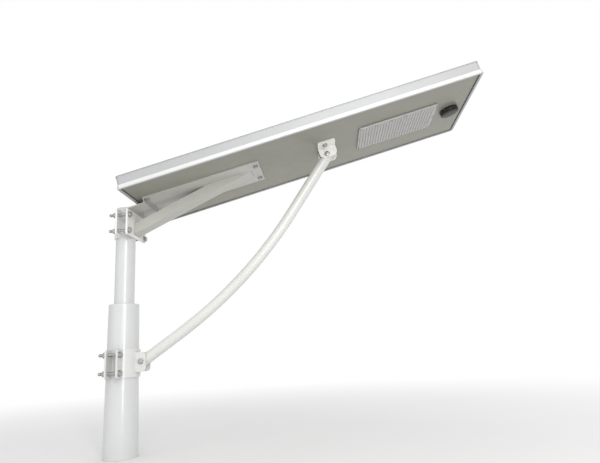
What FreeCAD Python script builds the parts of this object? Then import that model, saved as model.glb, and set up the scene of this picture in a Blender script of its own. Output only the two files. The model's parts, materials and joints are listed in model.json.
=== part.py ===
"""Solar street lamp on the top section of its pole.

An all-in-one lamp: a long flat aluminium box with solar cells on top and LEDs, a lens and a
motion sensor underneath.  It is bolted to a welded arm bracket that a two-piece clamp holds on
the pole's tenon, and a bent round strut props it from a second clamp on the pole's shaft.

Frame, in millimetres: the origin is the centre of the open lower end of the pole section,
+Z runs up the pole, and +X is the way the lamp reaches out.  The lamp's own pieces are drawn
in a lamp frame: x runs along the lamp from the pole's axis, y across it and h square to its
underside, which is the plane h = 0.  lamp_place() turns that frame into the pole's.
"""
import FreeCAD, Part
import math
import os
from FreeCAD import Vector

# ---- pole section ----------------------------------------------------------------------
shaft_height = 557.0        # top of the tapered shaft, at the step
shaft_top_r = 57.0          # outer radius at the step
shaft_taper = 0.011         # growth of the radius per millimetre of height, going down
shaft_wall = 5.0
socket_r = 57.25            # bore at the lower end, for a 114.3 mm spigot
socket_length = 120.0
reducer_thickness = 8.0     # ring that closes the shaft round the tenon
tenon_r = 38.0              # 76 mm tenon
tenon_wall = 4.0
tenon_top = 947.0
tenon_embed = 90.0          # length of tenon below the reducer's top
cap_thickness = 3.0
cap_skirt = 14.0

# ---- where the lamp sits ---------------------------------------------------------------
lamp_tilt = 14.1            # degrees up from level
lamp_datum_z = 929.0        # height of the underside's plane on the pole's axis
lamp_start = 67.0           # from the pole's axis to the lamp's inner end, along the lamp
lamp_length = 1405.0
lamp_width = 500.0
lamp_depth = 52.0

# ---- frame extrusion: u runs inwards from the outermost edge -----------------------------
bead_out = 4.0              # how far the bottom bead stands out, and its edge radius
bead_height = 16.0
bead_inner = 12.0           # u of the bead's inner side
bead_core = 3.0             # wall round the bead's hollow
wall_t = 2.5                # side wall
lip_out = 1.0               # raised line along the top edge
lip_height = 4.0
top_lip_t = 2.0
top_lip_u = 15.0
panel_slot = 5.0            # slot that holds the solar laminate
panel_ledge_u = 22.0
panel_ledge_t = 2.0
sheet_h = 4.0               # underside sheet's lower face
sheet_t = 2.0
sheet_gap = 4.0             # groove round the sheet, filled by the gasket
sheet_ledge_u = 30.0
sheet_ledge_t = 2.0
corner_r = 16.0
key_t = 3.0                 # angle strip inside each corner
key_leg = 55.0
key_height = 22.0

# ---- solar laminate ----------------------------------------------------------------------
panel_edge = 1.0            # laminate edge to the bottom of the slot
backsheet_t = 0.5
cell_t = 0.3
encapsulant_t = 1.3
cells_along = 12
cells_across = 3
cell_gap = 3.0
cell_margin = 9.0           # glass edge to the first cell
junction_box = (110.0, 70.0, 16.0)
junction_box_x = 640.0      # along the lamp from its inner end

# ---- what is fixed under and inside the lamp: distances from an end or the middle ---------
base_plate_from_inner = 37.0
base_plate_length = 478.0
base_plate_half = 102.0
base_plate_t = 5.0
base_bolt_inset_inner = 17.0    # from the plate's inner end
base_bolt_inset_outer = 17.0    # from the plate's outer end
base_bolt_half_inner = 87.0     # middle to the bolts at each end
base_bolt_half_outer = 66.0
lens_from_outer = 147.0         # lamp's outer end to the lens plate
lens_length = 326.0
lens_half = 98.0
lens_low = -6.0                 # lowest face of the lens plate
lens_face_t = 3.0
lens_corner = 5.0
lens_rim = 11.0                 # solid margin round the room behind the lenses
lens_gasket_t = 1.0
lens_screw_r = 1.5
window_inset = 16.0             # lens plate's edge to the window in the sheet
led_board_t = 1.6
led_chip = 3.0
led_chip_t = 0.7
led_columns = 26
led_rows = 8
spreader_t = 3.0
spreader_over = 8.0
fin_height = 16.0
fin_t = 2.0
fin_count = 7
sensor_from_outer = 79.0
sensor_r = 38.0
sensor_drop = 12.0              # housing below the lamp's underside plane
sensor_wall = 4.0
sensor_stem_r = 22.0
sensor_stem_top = 20.0
sensor_dome_drop = 6.0
sensor_dome_sag = 3.0
bracket_from_lens = 100.0       # lens plate to the strut bracket
bracket_length = 72.0
bracket_flange = 57.0
bracket_t = 5.0
bracket_pivot_x = 29.0          # from the bracket's inner end
bracket_pivot_h = -29.0
bracket_ear_r = 22.0            # rounding of the ear's lower corners
bracket_depth = 43.0
bracket_bolt_in = 31.0          # ear's outer face to the flange bolt
cross_width = 46.0
cross_web = 20.0
cross_t = 3.0
tray_t = 2.0
tray_rim = 15.0
battery_cell_r = 16.0
battery_cell_length = 67.0
battery_columns = 10
battery_rows = 4
battery_pitch_x = 34.0
battery_pitch_y = 70.0
tray_clear = 6.0
strap_width = 20.0
strap_t = 1.2
controller = (150.0, 56.0, 28.0)
controller_wall = 2.5
controller_gap = 6.0            # spreader's edge to the controller

# ---- arm bracket -------------------------------------------------------------------------
clamp_low = 820.0
clamp_high = 925.0
clamp_half = 95.0               # pole's axis to the ears' tips
clamp_plate_t = 7.0             # front plate
clamp_plate_bite = 0.7          # depth of the tenon's seat in the front plate
saddle_ear_x = (-4.0, 2.0)      # rear saddle's ears
saddle_t = 6.0
clamp_bolt_y = 81.0
clamp_bolt_z = (836.0, 900.0)
ear_corner = 8.0
running_gap = 0.08              # radial clearance of a clamp that turns on the pole
neck_t = 5.0
neck_h = -17.0                  # underside of the neck plate
neck_half = 90.0
neck_pole_gap = 1.5
arm_width = 60.0
arm_height = 38.0
arm_wall = 3.0
arm_root_z = 832.5              # underside of the arm at the front plate
arm_toe_from_inner = 475.0      # where the underside meets the base plate

# ---- strut and lower clamp -----------------------------------------------------------------
strut_r = 21.2
strut_wall = 2.5
strut_side_gap = 1.0            # strut to each ear
strut_end = 17.0                # strut beyond its upper pivot
strut_pole_gap = 1.5            # lower end, cut upright, to the lower clamp's band
strut_bend_run = 484.5          # along the line between the pivots, from the lower one
strut_bend_depth = 101.6        # the bend's corner below that line
strut_bend_r = 1715.0
bush_r = 8.0
lower_low = 282.0
lower_high = 384.0
lower_band_t = 5.0
lower_ear_x = (18.0, 24.0)      # the front half's ears; the rear half's are opposite
lower_ear_reach = 41.0          # band to the ears' tips
lower_bolt_reach = 24.0         # band to the bolts
lower_bolt_inset = 18.0         # from the band's edges
clevis_low = 300.0
clevis_high = 372.0
clevis_reach = 34.0             # band to the clevis tips
clevis_pivot_reach = 16.5
clevis_pivot_z = 338.0
clevis_t = 5.0
clevis_corner = 14.0

# ---- fasteners: thread, across flats, head, washer radius and thickness -------------------
M12 = {"d": 12.0, "flats": 19.0, "head": 7.5, "nut": 10.0, "washer_r": 12.0, "washer_t": 2.5}
M10 = {"d": 10.0, "flats": 17.0, "head": 6.4, "nut": 8.0, "washer_r": 10.5, "washer_t": 2.0}
PIVOT = M10
hole_clear = 0.5
thread_clear = 0.05
clamp_stud_out = 16.0           # bolt end beyond its nut
pivot_stud_out = 4.0
flange_stud_out = 3.0


# ---- small makers ----------------------------------------------------------------------
def box(x, y, z):
    """A box from (low, high) pairs."""
    corner = Vector(x[0], y[0], z[0])
    return Part.makeBox(x[1] - x[0], y[1] - y[0], z[1] - z[0], corner)


def rod(radius, start, direction, length):
    return Part.makeCylinder(radius, length, Vector(*start), Vector(*direction))


def ring(outer, inner, start, direction, length):
    return rod(outer, start, direction, length).cut(rod(inner, start, direction, length))


def extrude(points, direction):
    """A prism over a closed outline."""
    wire = Part.makePolygon([Vector(*p) for p in points + points[:1]])
    return Part.Face(wire).extrude(Vector(*direction))


def hexagon(flats, start, direction, length):
    """A hexagonal prism along a direction."""
    corner = flats / math.sqrt(3)
    points = [(corner * math.cos(math.radians(a)), corner * math.sin(math.radians(a)), 0)
              for a in range(0, 360, 60)]
    prism = extrude(points, (0, 0, length))
    turn = FreeCAD.Rotation(Vector(0, 0, 1), Vector(*direction))
    prism.Placement = FreeCAD.Placement(Vector(*start), turn)
    return prism


def offset(point, direction, distance):
    return tuple(p + distance * d for p, d in zip(point, direction))


def bolt(size, seat, direction, length):
    """A hex bolt whose head stands on seat; the shank runs along direction."""
    head_start = offset(seat, direction, -size["head"])
    head = hexagon(size["flats"], head_start, direction, size["head"])
    return head.fuse(rod(size["d"] / 2, seat, direction, length)).removeSplitter()


def nut(size, seat, direction):
    body = hexagon(size["flats"], seat, direction, size["nut"])
    return body.cut(rod(size["d"] / 2 + thread_clear, seat, direction, size["nut"]))


def washer(size, seat, direction):
    inner = size["d"] / 2 + thread_clear
    return ring(size["washer_r"], inner, seat, direction, size["washer_t"])


def hole(size, centre, direction, reach):
    """The cutter for a bolt's clearance hole, through everything within reach."""
    radius = size["d"] / 2 + hole_clear
    return rod(radius, offset(centre, direction, -reach), direction, 2 * reach)


def cut_all(shape, cutters):
    for cutter in cutters:
        shape = shape.cut(cutter)
    return shape


def rounded(shape, radius, pick):
    """Fillet the edges whose middle point pick() accepts."""
    edges = [e for e in shape.Edges if pick(e.CenterOfMass, e)]
    return shape.makeFillet(radius, edges)


def runs_along(edge, axis):
    first, last = edge.Vertexes[0].Point, edge.Vertexes[-1].Point
    along = last.sub(first)
    return along.Length > 1e-6 and abs(abs(along.dot(axis)) - along.Length) < 1e-6


X_AXIS, Y_AXIS, Z_AXIS = Vector(1, 0, 0), Vector(0, 1, 0), Vector(0, 0, 1)


def lamp_place(shape):
    """Move a shape from the lamp frame to the pole's frame."""
    turn = FreeCAD.Rotation(Y_AXIS, -lamp_tilt)
    return shape.transformed(FreeCAD.Placement(Vector(0, 0, lamp_datum_z), turn).toMatrix())


def lamp_point(x, h):
    """A point of the lamp's middle plane, as (X, Z) in the pole's frame."""
    tilt = math.radians(lamp_tilt)
    return (x * math.cos(tilt) - h * math.sin(tilt),
            lamp_datum_z + x * math.sin(tilt) + h * math.cos(tilt))


def shaft_r(z):
    return shaft_top_r + shaft_taper * (shaft_height - z)


nodes = {}


def add(name, *solids):
    nodes[name] = solids[0] if len(solids) == 1 else Part.makeCompound(list(solids))


def add_to_lamp(name, *solids):
    add(name, *[lamp_place(s) for s in solids])


# ---- places worked out from the sizes above --------------------------------------------
clamp_plate_x = (tenon_r - clamp_plate_bite, tenon_r - clamp_plate_bite + clamp_plate_t)
lamp_end = lamp_start + lamp_length
half = lamp_width / 2
sheet_top = sheet_h + sheet_t
ledge_top = sheet_top + sheet_ledge_t
panel_top = lamp_depth - top_lip_t
panel_low = panel_top - panel_slot
plate_low = sheet_h - base_plate_t                     # underside of the base plate
base_x = (lamp_start + base_plate_from_inner,
          lamp_start + base_plate_from_inner + base_plate_length)
base_bolt_x = (base_x[0] + base_bolt_inset_inner, base_x[1] - base_bolt_inset_outer)
base_bolts = [(base_bolt_x[0], -base_bolt_half_inner), (base_bolt_x[0], base_bolt_half_inner),
              (base_bolt_x[1], -base_bolt_half_outer), (base_bolt_x[1], base_bolt_half_outer)]
nut_seat = sheet_top + cross_t                         # where the inner nuts sit
lens_x = (lamp_end - lens_from_outer - lens_length, lamp_end - lens_from_outer)
bracket_x = (lens_x[0] - bracket_from_lens - bracket_length, lens_x[0] - bracket_from_lens)
bracket_pivot = bracket_x[0] + bracket_pivot_x
ear_inner = strut_r + strut_side_gap
bracket_bolt_y = ear_inner + bracket_t + bracket_bolt_in
bracket_bolts = [(bracket_pivot, -bracket_bolt_y), (bracket_pivot, bracket_bolt_y)]
sensor_x = lamp_end - sensor_from_outer
upper_pivot = lamp_point(bracket_pivot, bracket_pivot_h)
lower_mid = (lower_low + lower_high) / 2
band_r = shaft_r(lower_mid) + running_gap + lower_band_t
lower_pivot = (band_r + clevis_pivot_reach, clevis_pivot_z)


# ---- pole ------------------------------------------------------------------------------
def pole():
    reducer_low = shaft_height - reducer_thickness
    profile = [(shaft_r(0), 0), (shaft_r(reducer_low), reducer_low),
               (shaft_r(reducer_low) - shaft_wall, reducer_low),
               (shaft_r(socket_length) - shaft_wall, socket_length),
               (socket_r, socket_length), (socket_r, 0)]
    points = [Vector(r, 0, z) for r, z in profile]
    face = Part.Face(Part.makePolygon(points + points[:1]))
    add("pole_shaft", face.revolve(Vector(0, 0, 0), Z_AXIS, 360))

    ring_out = Part.makeCone(shaft_r(reducer_low), shaft_top_r, reducer_thickness,
                             Vector(0, 0, reducer_low))
    add("pole_reducer", ring_out.cut(rod(tenon_r, (0, 0, 0), (0, 0, 1), tenon_top)))

    tenon_low = shaft_height - tenon_embed
    tenon_length = tenon_top - cap_thickness - tenon_low
    add("pole_tenon", ring(tenon_r, tenon_r - tenon_wall, (0, 0, tenon_low), (0, 0, 1),
                           tenon_length))

    cap_seat = tenon_top - cap_thickness
    disc = rod(tenon_r, (0, 0, cap_seat), (0, 0, 1), cap_thickness)
    skirt_r = tenon_r - tenon_wall
    skirt = ring(skirt_r, skirt_r - cap_thickness, (0, 0, cap_seat - cap_skirt), (0, 0, 1),
                 cap_skirt)
    add("pole_cap", disc.fuse(skirt).removeSplitter())


# ---- upper clamp and arm bracket ---------------------------------------------------------
def clamp_holes():
    return [hole(M12, (0, y, z), (1, 0, 0), 3 * clamp_half)
            for y in (-clamp_bolt_y, clamp_bolt_y) for z in clamp_bolt_z]


def below_neck():
    """Everything under the neck plate's lower face, as a cutting box in the lamp frame."""
    reach = 3 * clamp_high
    return lamp_place(box((-reach, reach), (-reach, reach), (neck_h - reach, neck_h)))


def upper_clamp():
    bore = rod(tenon_r + running_gap, (0, 0, 0), (0, 0, 1), 2 * clamp_high)
    height = (clamp_low, clamp_high + neck_t)
    plate = box(clamp_plate_x, (-clamp_half, clamp_half), height).common(below_neck())
    plate = rounded(plate, ear_corner, lambda c, e: runs_along(e, X_AXIS) and c.z < clamp_high - 40)
    add("clamp_plate", cut_all(plate, [bore] + clamp_holes()))

    band_height = clamp_high - clamp_low
    band = rod(tenon_r + running_gap + saddle_t, (0, 0, clamp_low), (0, 0, 1), band_height)
    behind = box((-2 * clamp_half, saddle_ear_x[1]), (-clamp_half, clamp_half),
                 (clamp_low, clamp_high))
    ears = box(saddle_ear_x, (-clamp_half, clamp_half), (clamp_low, clamp_high))
    ears = rounded(ears, ear_corner, lambda c, e: runs_along(e, X_AXIS))
    saddle = band.common(behind).fuse(ears)
    add("clamp_saddle", cut_all(saddle, [bore] + clamp_holes()))

    bolts, washers, nuts = [], [], []
    grip = clamp_plate_x[1] - saddle_ear_x[0] + 2 * M12["washer_t"]
    for y in (-clamp_bolt_y, clamp_bolt_y):
        for z in clamp_bolt_z:
            head_seat = (clamp_plate_x[1] + M12["washer_t"], y, z)
            bolts.append(bolt(M12, head_seat, (-1, 0, 0), grip + M12["nut"] + clamp_stud_out))
            washers.append(washer(M12, (clamp_plate_x[1], y, z), (1, 0, 0)))
            washers.append(washer(M12, (saddle_ear_x[0], y, z), (-1, 0, 0)))
            nuts.append(nut(M12, (saddle_ear_x[0] - M12["washer_t"], y, z), (-1, 0, 0)))
    add("clamp_bolts", *bolts)
    add("clamp_washers", *washers)
    add("clamp_nuts", *nuts)


def arm_bracket():
    # the neck plate lies on the front plate and is folded up to meet the base plate
    neck = box((0, base_x[0] + neck_t), (-neck_half, neck_half), (neck_h, neck_h + neck_t))
    riser = box((base_x[0], base_x[0] + neck_t), (-neck_half, neck_half), (neck_h, plate_low))
    pole_clear = rod(tenon_r + neck_pole_gap, (0, 0, 0), (0, 0, 1), 2 * tenon_top)
    before = box((-tenon_top, clamp_plate_x[0]), (-clamp_half, clamp_half), (0, 2 * tenon_top))
    add("neck_plate", lamp_place(neck.fuse(riser).removeSplitter()).cut(pole_clear).cut(before))

    plate = box(base_x, (-base_plate_half, base_plate_half), (plate_low, sheet_h))
    plate = rounded(plate, ear_corner, lambda c, e: runs_along(e, Z_AXIS))
    add_to_lamp("base_plate", cut_all(plate, flange_holes(base_bolts)))

    toe = lamp_point(lamp_start + arm_toe_from_inner, plate_low)
    root_x = clamp_plate_x[1]
    run, rise = toe[0] - root_x, toe[1] - arm_root_z
    length = math.hypot(run, rise)
    direction = Vector(run / length, 0, rise / length)
    spare = arm_height * 6
    outer = box((-spare, length + spare), (-arm_width / 2, arm_width / 2), (0, arm_height))
    inner = box((-2 * spare, length + 2 * spare),
                (-arm_width / 2 + arm_wall, arm_width / 2 - arm_wall),
                (arm_wall, arm_height - arm_wall))
    tube = outer.cut(inner)
    tube.Placement = FreeCAD.Placement(Vector(root_x, 0, arm_root_z),
                                       FreeCAD.Rotation(X_AXIS, direction))
    far = 3 * lamp_length
    beyond_plate = box((root_x, far), (-far, far), (-far, far))
    under_base = lamp_place(box((-far, far), (-far, far), (plate_low - far, plate_low)))
    tube = tube.common(beyond_plate).common(under_base)
    neck_zone = lamp_place(box((-far, base_x[0] + neck_t), (-far, far), (neck_h, far)))
    add("bracket_arm", tube.cut(neck_zone))


# ---- bolts up through the lamp's underside -------------------------------------------------
def flange_holes(places):
    return [hole(M10, (x, y, 0), (0, 0, 1), lamp_depth) for x, y in places]


def flange_fasteners():
    bolts, washers, nuts = [], [], []
    for x, y in base_bolts + bracket_bolts:
        seat = (x, y, plate_low - M10["washer_t"])
        length = nut_seat + M10["nut"] + flange_stud_out - seat[2]
        bolts.append(bolt(M10, seat, (0, 0, 1), length))
        washers.append(washer(M10, seat, (0, 0, 1)))
        nuts.append(nut(M10, (x, y, nut_seat), (0, 0, 1)))
    add_to_lamp("flange_bolts", *bolts)
    add_to_lamp("flange_washers", *washers)
    add_to_lamp("flange_nuts", *nuts)


# ---- strut -----------------------------------------------------------------------------
def strut_path(extra):
    """The strut's centre line, its straight ends carried on past both pivots."""
    (x0, z0), (x1, z1) = lower_pivot, upper_pivot
    span = math.hypot(x1 - x0, z1 - z0)
    along = ((x1 - x0) / span, (z1 - z0) / span)
    corner = (x0 + strut_bend_run * along[0] + strut_bend_depth * along[1],
              z0 + strut_bend_run * along[1] - strut_bend_depth * along[0])
    lower = Vector(x0 - corner[0], 0, z0 - corner[1]).normalize()
    upper = Vector(x1 - corner[0], 0, z1 - corner[1]).normalize()
    half_turn = (math.pi - lower.getAngle(upper)) / 2
    tangent = strut_bend_r * math.tan(half_turn)
    vertex = Vector(corner[0], 0, corner[1])
    into, out = vertex + lower * tangent, vertex + upper * tangent
    inward = (lower + upper).normalize()
    middle = vertex + inward * (strut_bend_r / math.cos(half_turn) - strut_bend_r)
    start = Vector(x0, 0, z0) + lower * 2 * strut_r
    finish = Vector(x1, 0, z1) + upper * extra
    edges = [Part.LineSegment(start, into).toShape(), Part.Arc(into, middle, out).toShape(),
             Part.LineSegment(out, finish).toShape()]
    return Part.Wire(edges), start, lower


def strut_section(radius, extra):
    path, start, lower = strut_path(extra)
    circle = Part.Wire(Part.Circle(start, lower, radius).toShape())
    return path.makePipeShell([circle], True, False)


def strut():
    tube = strut_section(strut_r, strut_end).cut(strut_section(strut_r - strut_wall, strut_end + 1))
    kept = band_r + strut_pole_gap
    tube = tube.common(box((kept, 2 * lamp_length), (-strut_r, strut_r), (0, 2 * tenon_top)))
    bushes, bolts, nuts, washers = [], [], [], []
    ear_outer = ear_inner + bracket_t
    for x, z in (lower_pivot, upper_pivot):
        tube = tube.cut(rod(bush_r + thread_clear, (x, -2 * strut_r, z), (0, 1, 0), 4 * strut_r))
        bushes.append(ring(bush_r, PIVOT["d"] / 2 + thread_clear, (x, -ear_inner, z), (0, 1, 0),
                           2 * ear_inner))
        seat = (x, -ear_outer - PIVOT["washer_t"], z)
        grip = 2 * (ear_outer + PIVOT["washer_t"])
        bolts.append(bolt(PIVOT, seat, (0, 1, 0), grip + PIVOT["nut"] + pivot_stud_out))
        washers.append(washer(PIVOT, (x, -ear_outer, z), (0, -1, 0)))
        washers.append(washer(PIVOT, (x, ear_outer, z), (0, 1, 0)))
        nuts.append(nut(PIVOT, (x, ear_outer + PIVOT["washer_t"], z), (0, 1, 0)))
    add("strut_tube", tube)
    add("strut_bushes", *bushes)
    add("pivot_bolts", *bolts)
    add("pivot_washers", *washers)
    add("pivot_nuts", *nuts)


def strut_bracket():
    """Two angle brackets under the lamp, an ear and a bolted flange each."""
    ear_outer = ear_inner + bracket_t
    tip = ear_outer + bracket_flange
    pivot = hole(PIVOT, (bracket_pivot, 0, bracket_pivot_h), (0, 1, 0), 2 * ear_outer)
    for name, side in (("strut_bracket_near", -1), ("strut_bracket_far", 1)):
        y_ear = sorted((side * ear_inner, side * ear_outer))
        ear = box(bracket_x, y_ear, (-bracket_depth, sheet_h))
        ear = rounded(ear, bracket_ear_r,
                      lambda c, e: runs_along(e, Y_AXIS) and c.z < 1 - bracket_depth)
        y_flange = sorted((side * ear_inner, side * tip))
        flange = box(bracket_x, y_flange, (sheet_h - bracket_t, sheet_h))
        flange = rounded(flange, ear_corner,
                         lambda c, e: runs_along(e, Z_AXIS) and abs(c.y - side * tip) < 1)
        angle = ear.fuse(flange).removeSplitter()
        add_to_lamp(name, cut_all(angle, [pivot] + flange_holes(bracket_bolts)))


# ---- lower clamp -----------------------------------------------------------------------
def lower_clamp():
    height = lower_high - lower_low
    base = Vector(0, 0, lower_low)
    inner_low, inner_high = shaft_r(lower_low) + running_gap, shaft_r(lower_high) + running_gap
    bore = Part.makeCone(inner_low, inner_high, height, base)
    band = Part.makeCone(inner_low + lower_band_t, inner_high + lower_band_t, height, base)
    tip = band_r + lower_ear_reach
    bolt_y = band_r + lower_bolt_reach
    bolt_z = (lower_low + lower_bolt_inset, lower_high - lower_bolt_inset)
    drills = [hole(M12, (0, y, z), (1, 0, 0), 3 * tip) for y in (-bolt_y, bolt_y) for z in bolt_z]

    def half_clamp(side):
        ear_x = sorted((side * lower_ear_x[0], side * lower_ear_x[1]))
        ears = box(ear_x, (-tip, tip), (lower_low, lower_high))
        ears = rounded(ears, ear_corner, lambda c, e: runs_along(e, X_AXIS))
        own_side = sorted((side * lower_ear_x[0], side * 2 * tip))
        return band.common(box(own_side, (-tip, tip), (lower_low, lower_high))).fuse(ears)

    front = half_clamp(1)
    for side in (-1, 1):
        y = sorted((side * ear_inner, side * (ear_inner + clevis_t)))
        ear = box((lower_ear_x[1], band_r + clevis_reach), y, (clevis_low, clevis_high))
        reach = band_r + clevis_reach
        ear = rounded(ear, clevis_corner,
                      lambda c, e: runs_along(e, Y_AXIS) and c.x > reach - 1)
        front = front.fuse(ear)
    pivot = hole(PIVOT, (lower_pivot[0], 0, lower_pivot[1]), (0, 1, 0), tip)
    add("lower_clamp_front", cut_all(front, [bore, pivot] + drills))
    add("lower_clamp_rear", cut_all(half_clamp(-1), [bore] + drills))

    bolts, washers, nuts = [], [], []
    grip = 2 * lower_ear_x[1] + 2 * M12["washer_t"]
    for y in (-bolt_y, bolt_y):
        for z in bolt_z:
            seat = (lower_ear_x[1] + M12["washer_t"], y, z)
            bolts.append(bolt(M12, seat, (-1, 0, 0), grip + M12["nut"] + clamp_stud_out))
            washers.append(washer(M12, (lower_ear_x[1], y, z), (1, 0, 0)))
            washers.append(washer(M12, (-lower_ear_x[1], y, z), (-1, 0, 0)))
            nuts.append(nut(M12, (-lower_ear_x[1] - M12["washer_t"], y, z), (-1, 0, 0)))
    add("lower_clamp_bolts", *bolts)
    add("lower_clamp_washers", *washers)
    add("lower_clamp_nuts", *nuts)


# ---- lamp frame --------------------------------------------------------------------------
def rail_outline(with_ledges):
    """The extrusion's section as (u, h) edges; corner blocks leave the ledges out."""
    def line(a, b):
        return Part.LineSegment(Vector(a[0], 0, a[1]), Vector(b[0], 0, b[1])).toShape()

    def arc(a, centre, b):
        mid_angle = math.atan2((a[1] + b[1]) / 2 - centre[1], (a[0] + b[0]) / 2 - centre[0])
        mid = (centre[0] + bead_out * math.cos(mid_angle),
               centre[1] + bead_out * math.sin(mid_angle))
        return Part.Arc(Vector(a[0], 0, a[1]), Vector(mid[0], 0, mid[1]),
                        Vector(b[0], 0, b[1])).toShape()

    wall_in = bead_out + wall_t
    lip_u = bead_out - lip_out
    low_arc = arc((bead_out, 0), (bead_out, bead_out), (0, bead_out))
    high_arc = arc((0, bead_height - bead_out), (bead_out, bead_height - bead_out),
                   (bead_out, bead_height))
    outside = [(bead_out, bead_height), (bead_out, lamp_depth - lip_height),
               (lip_u, lamp_depth - lip_height), (lip_u, lamp_depth), (top_lip_u, lamp_depth),
               (top_lip_u, panel_top), (wall_in, panel_top), (wall_in, panel_low)]
    if with_ledges:
        outside += [(panel_ledge_u, panel_low), (panel_ledge_u, panel_low - panel_ledge_t),
                    (wall_in, panel_low - panel_ledge_t), (wall_in, bead_height),
                    (bead_inner, bead_height), (bead_inner, ledge_top),
                    (sheet_ledge_u, ledge_top), (sheet_ledge_u, sheet_top),
                    (bead_inner, sheet_top)]
    else:
        outside += [(wall_in, bead_height), (bead_inner, bead_height)]
    outside += [(bead_inner, 0), (bead_out, 0)]
    edges = [low_arc, line((0, bead_out), (0, bead_height - bead_out)), high_arc]
    edges += [line(a, b) for a, b in zip(outside, outside[1:])]
    return Part.Wire(Part.__sortEdges__(edges))


def rail(length):
    """A straight rail along +Y from the origin, with u along +X."""
    body = Part.Face(rail_outline(True)).extrude(Vector(0, length, 0))
    core = box((bead_core, bead_inner - bead_core), (-1, length + 1),
               (bead_core, bead_height - bead_core))
    return body.cut(core)


def put(shape, x, y, turn):
    """Turn a shape about Z by degrees and move it, in the lamp frame."""
    placement = FreeCAD.Placement(Vector(x, y, 0), FreeCAD.Rotation(Z_AXIS, turn))
    return shape.transformed(placement.toMatrix())


def lamp_frame():
    side = rail(lamp_length - 2 * corner_r)
    end = rail(lamp_width - 2 * corner_r)
    clear = sheet_ledge_u - corner_r + 0.2
    trims = [box((bead_inner + 0.01, lamp_width), y, (0.01, lamp_depth - 0.01))
             for y in ((-1, clear), (end.BoundBox.YMax - clear, end.BoundBox.YMax + 1))]
    trims = [t.cut(box((0, top_lip_u), (-lamp_width, 2 * lamp_width), (panel_top, lamp_depth)))
             for t in trims]
    end = cut_all(end, trims)
    add_to_lamp("rail_near", put(side, lamp_end - corner_r, -half, 90))
    add_to_lamp("rail_far", put(side, lamp_start + corner_r, half, -90))
    add_to_lamp("rail_inner_end", put(end, lamp_start, -half + corner_r, 0))
    add_to_lamp("rail_outer_end", put(end, lamp_end, half - corner_r, 180))

    outline = Part.Face(rail_outline(False))
    block = outline.revolve(Vector(corner_r, 0, 0), Z_AXIS, 90)
    strip_out = corner_r - bead_out - wall_t - 0.1
    bend = ring(strip_out, strip_out - key_t, (0, 0, 0), (0, 0, 1), key_height)
    bend = bend.common(box((-corner_r, 0), (-corner_r, 0), (0, key_height)))
    legs = [box((-strip_out, -strip_out + key_t), (0, key_leg), (0, key_height)),
            box((0, key_leg), (-strip_out, -strip_out + key_t), (0, key_height))]
    key = bend.multiFuse(legs).removeSplitter()
    key.translate(Vector(0, 0, bead_height + 1))
    corners, keys = [], []
    places = ((lamp_start + corner_r, -half + corner_r, 0),
              (lamp_end - corner_r, -half + corner_r, 90),
              (lamp_end - corner_r, half - corner_r, 180),
              (lamp_start + corner_r, half - corner_r, 270))
    for x, y, turn in places:
        local = block.copy()
        local.translate(Vector(-corner_r, 0, 0))
        corners.append(put(local, x, y, turn))
        keys.append(put(key, x, y, turn))
    add_to_lamp("corner_blocks", *corners)
    add_to_lamp("corner_keys", *keys)


# ---- solar laminate ------------------------------------------------------------------------
def laminate_plate(low, high):
    inset = bead_out + wall_t + panel_edge
    plate = box((lamp_start + inset, lamp_end - inset), (-half + inset, half - inset), (low, high))
    return rounded(plate, corner_r - inset, lambda c, e: runs_along(e, Z_AXIS))


def solar_panel():
    inset = bead_out + wall_t + panel_edge + cell_margin
    length, width = lamp_length - 2 * inset, lamp_width - 2 * inset
    pitch_x = (length + cell_gap) / cells_along
    pitch_y = (width + cell_gap) / cells_across
    cell_low = panel_low + backsheet_t
    cells = []
    for i in range(cells_along):
        for j in range(cells_across):
            x = lamp_start + inset + i * pitch_x
            y = -half + inset + j * pitch_y
            cells.append(box((x, x + pitch_x - cell_gap), (y, y + pitch_y - cell_gap),
                             (cell_low, cell_low + cell_t)))
    glass_low = cell_low + encapsulant_t
    add_to_lamp("solar_backsheet", laminate_plate(panel_low, cell_low))
    add_to_lamp("solar_cells", *cells)
    add_to_lamp("encapsulant", laminate_plate(cell_low, glass_low).cut(Part.makeCompound(cells)))
    add_to_lamp("solar_glass", laminate_plate(glass_low, panel_top))
    long_side, short_side, depth = junction_box
    x = lamp_start + junction_box_x
    add_to_lamp("junction_box", box((x, x + long_side), (-short_side / 2, short_side / 2),
                                    (panel_low - depth, panel_low)))


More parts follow.
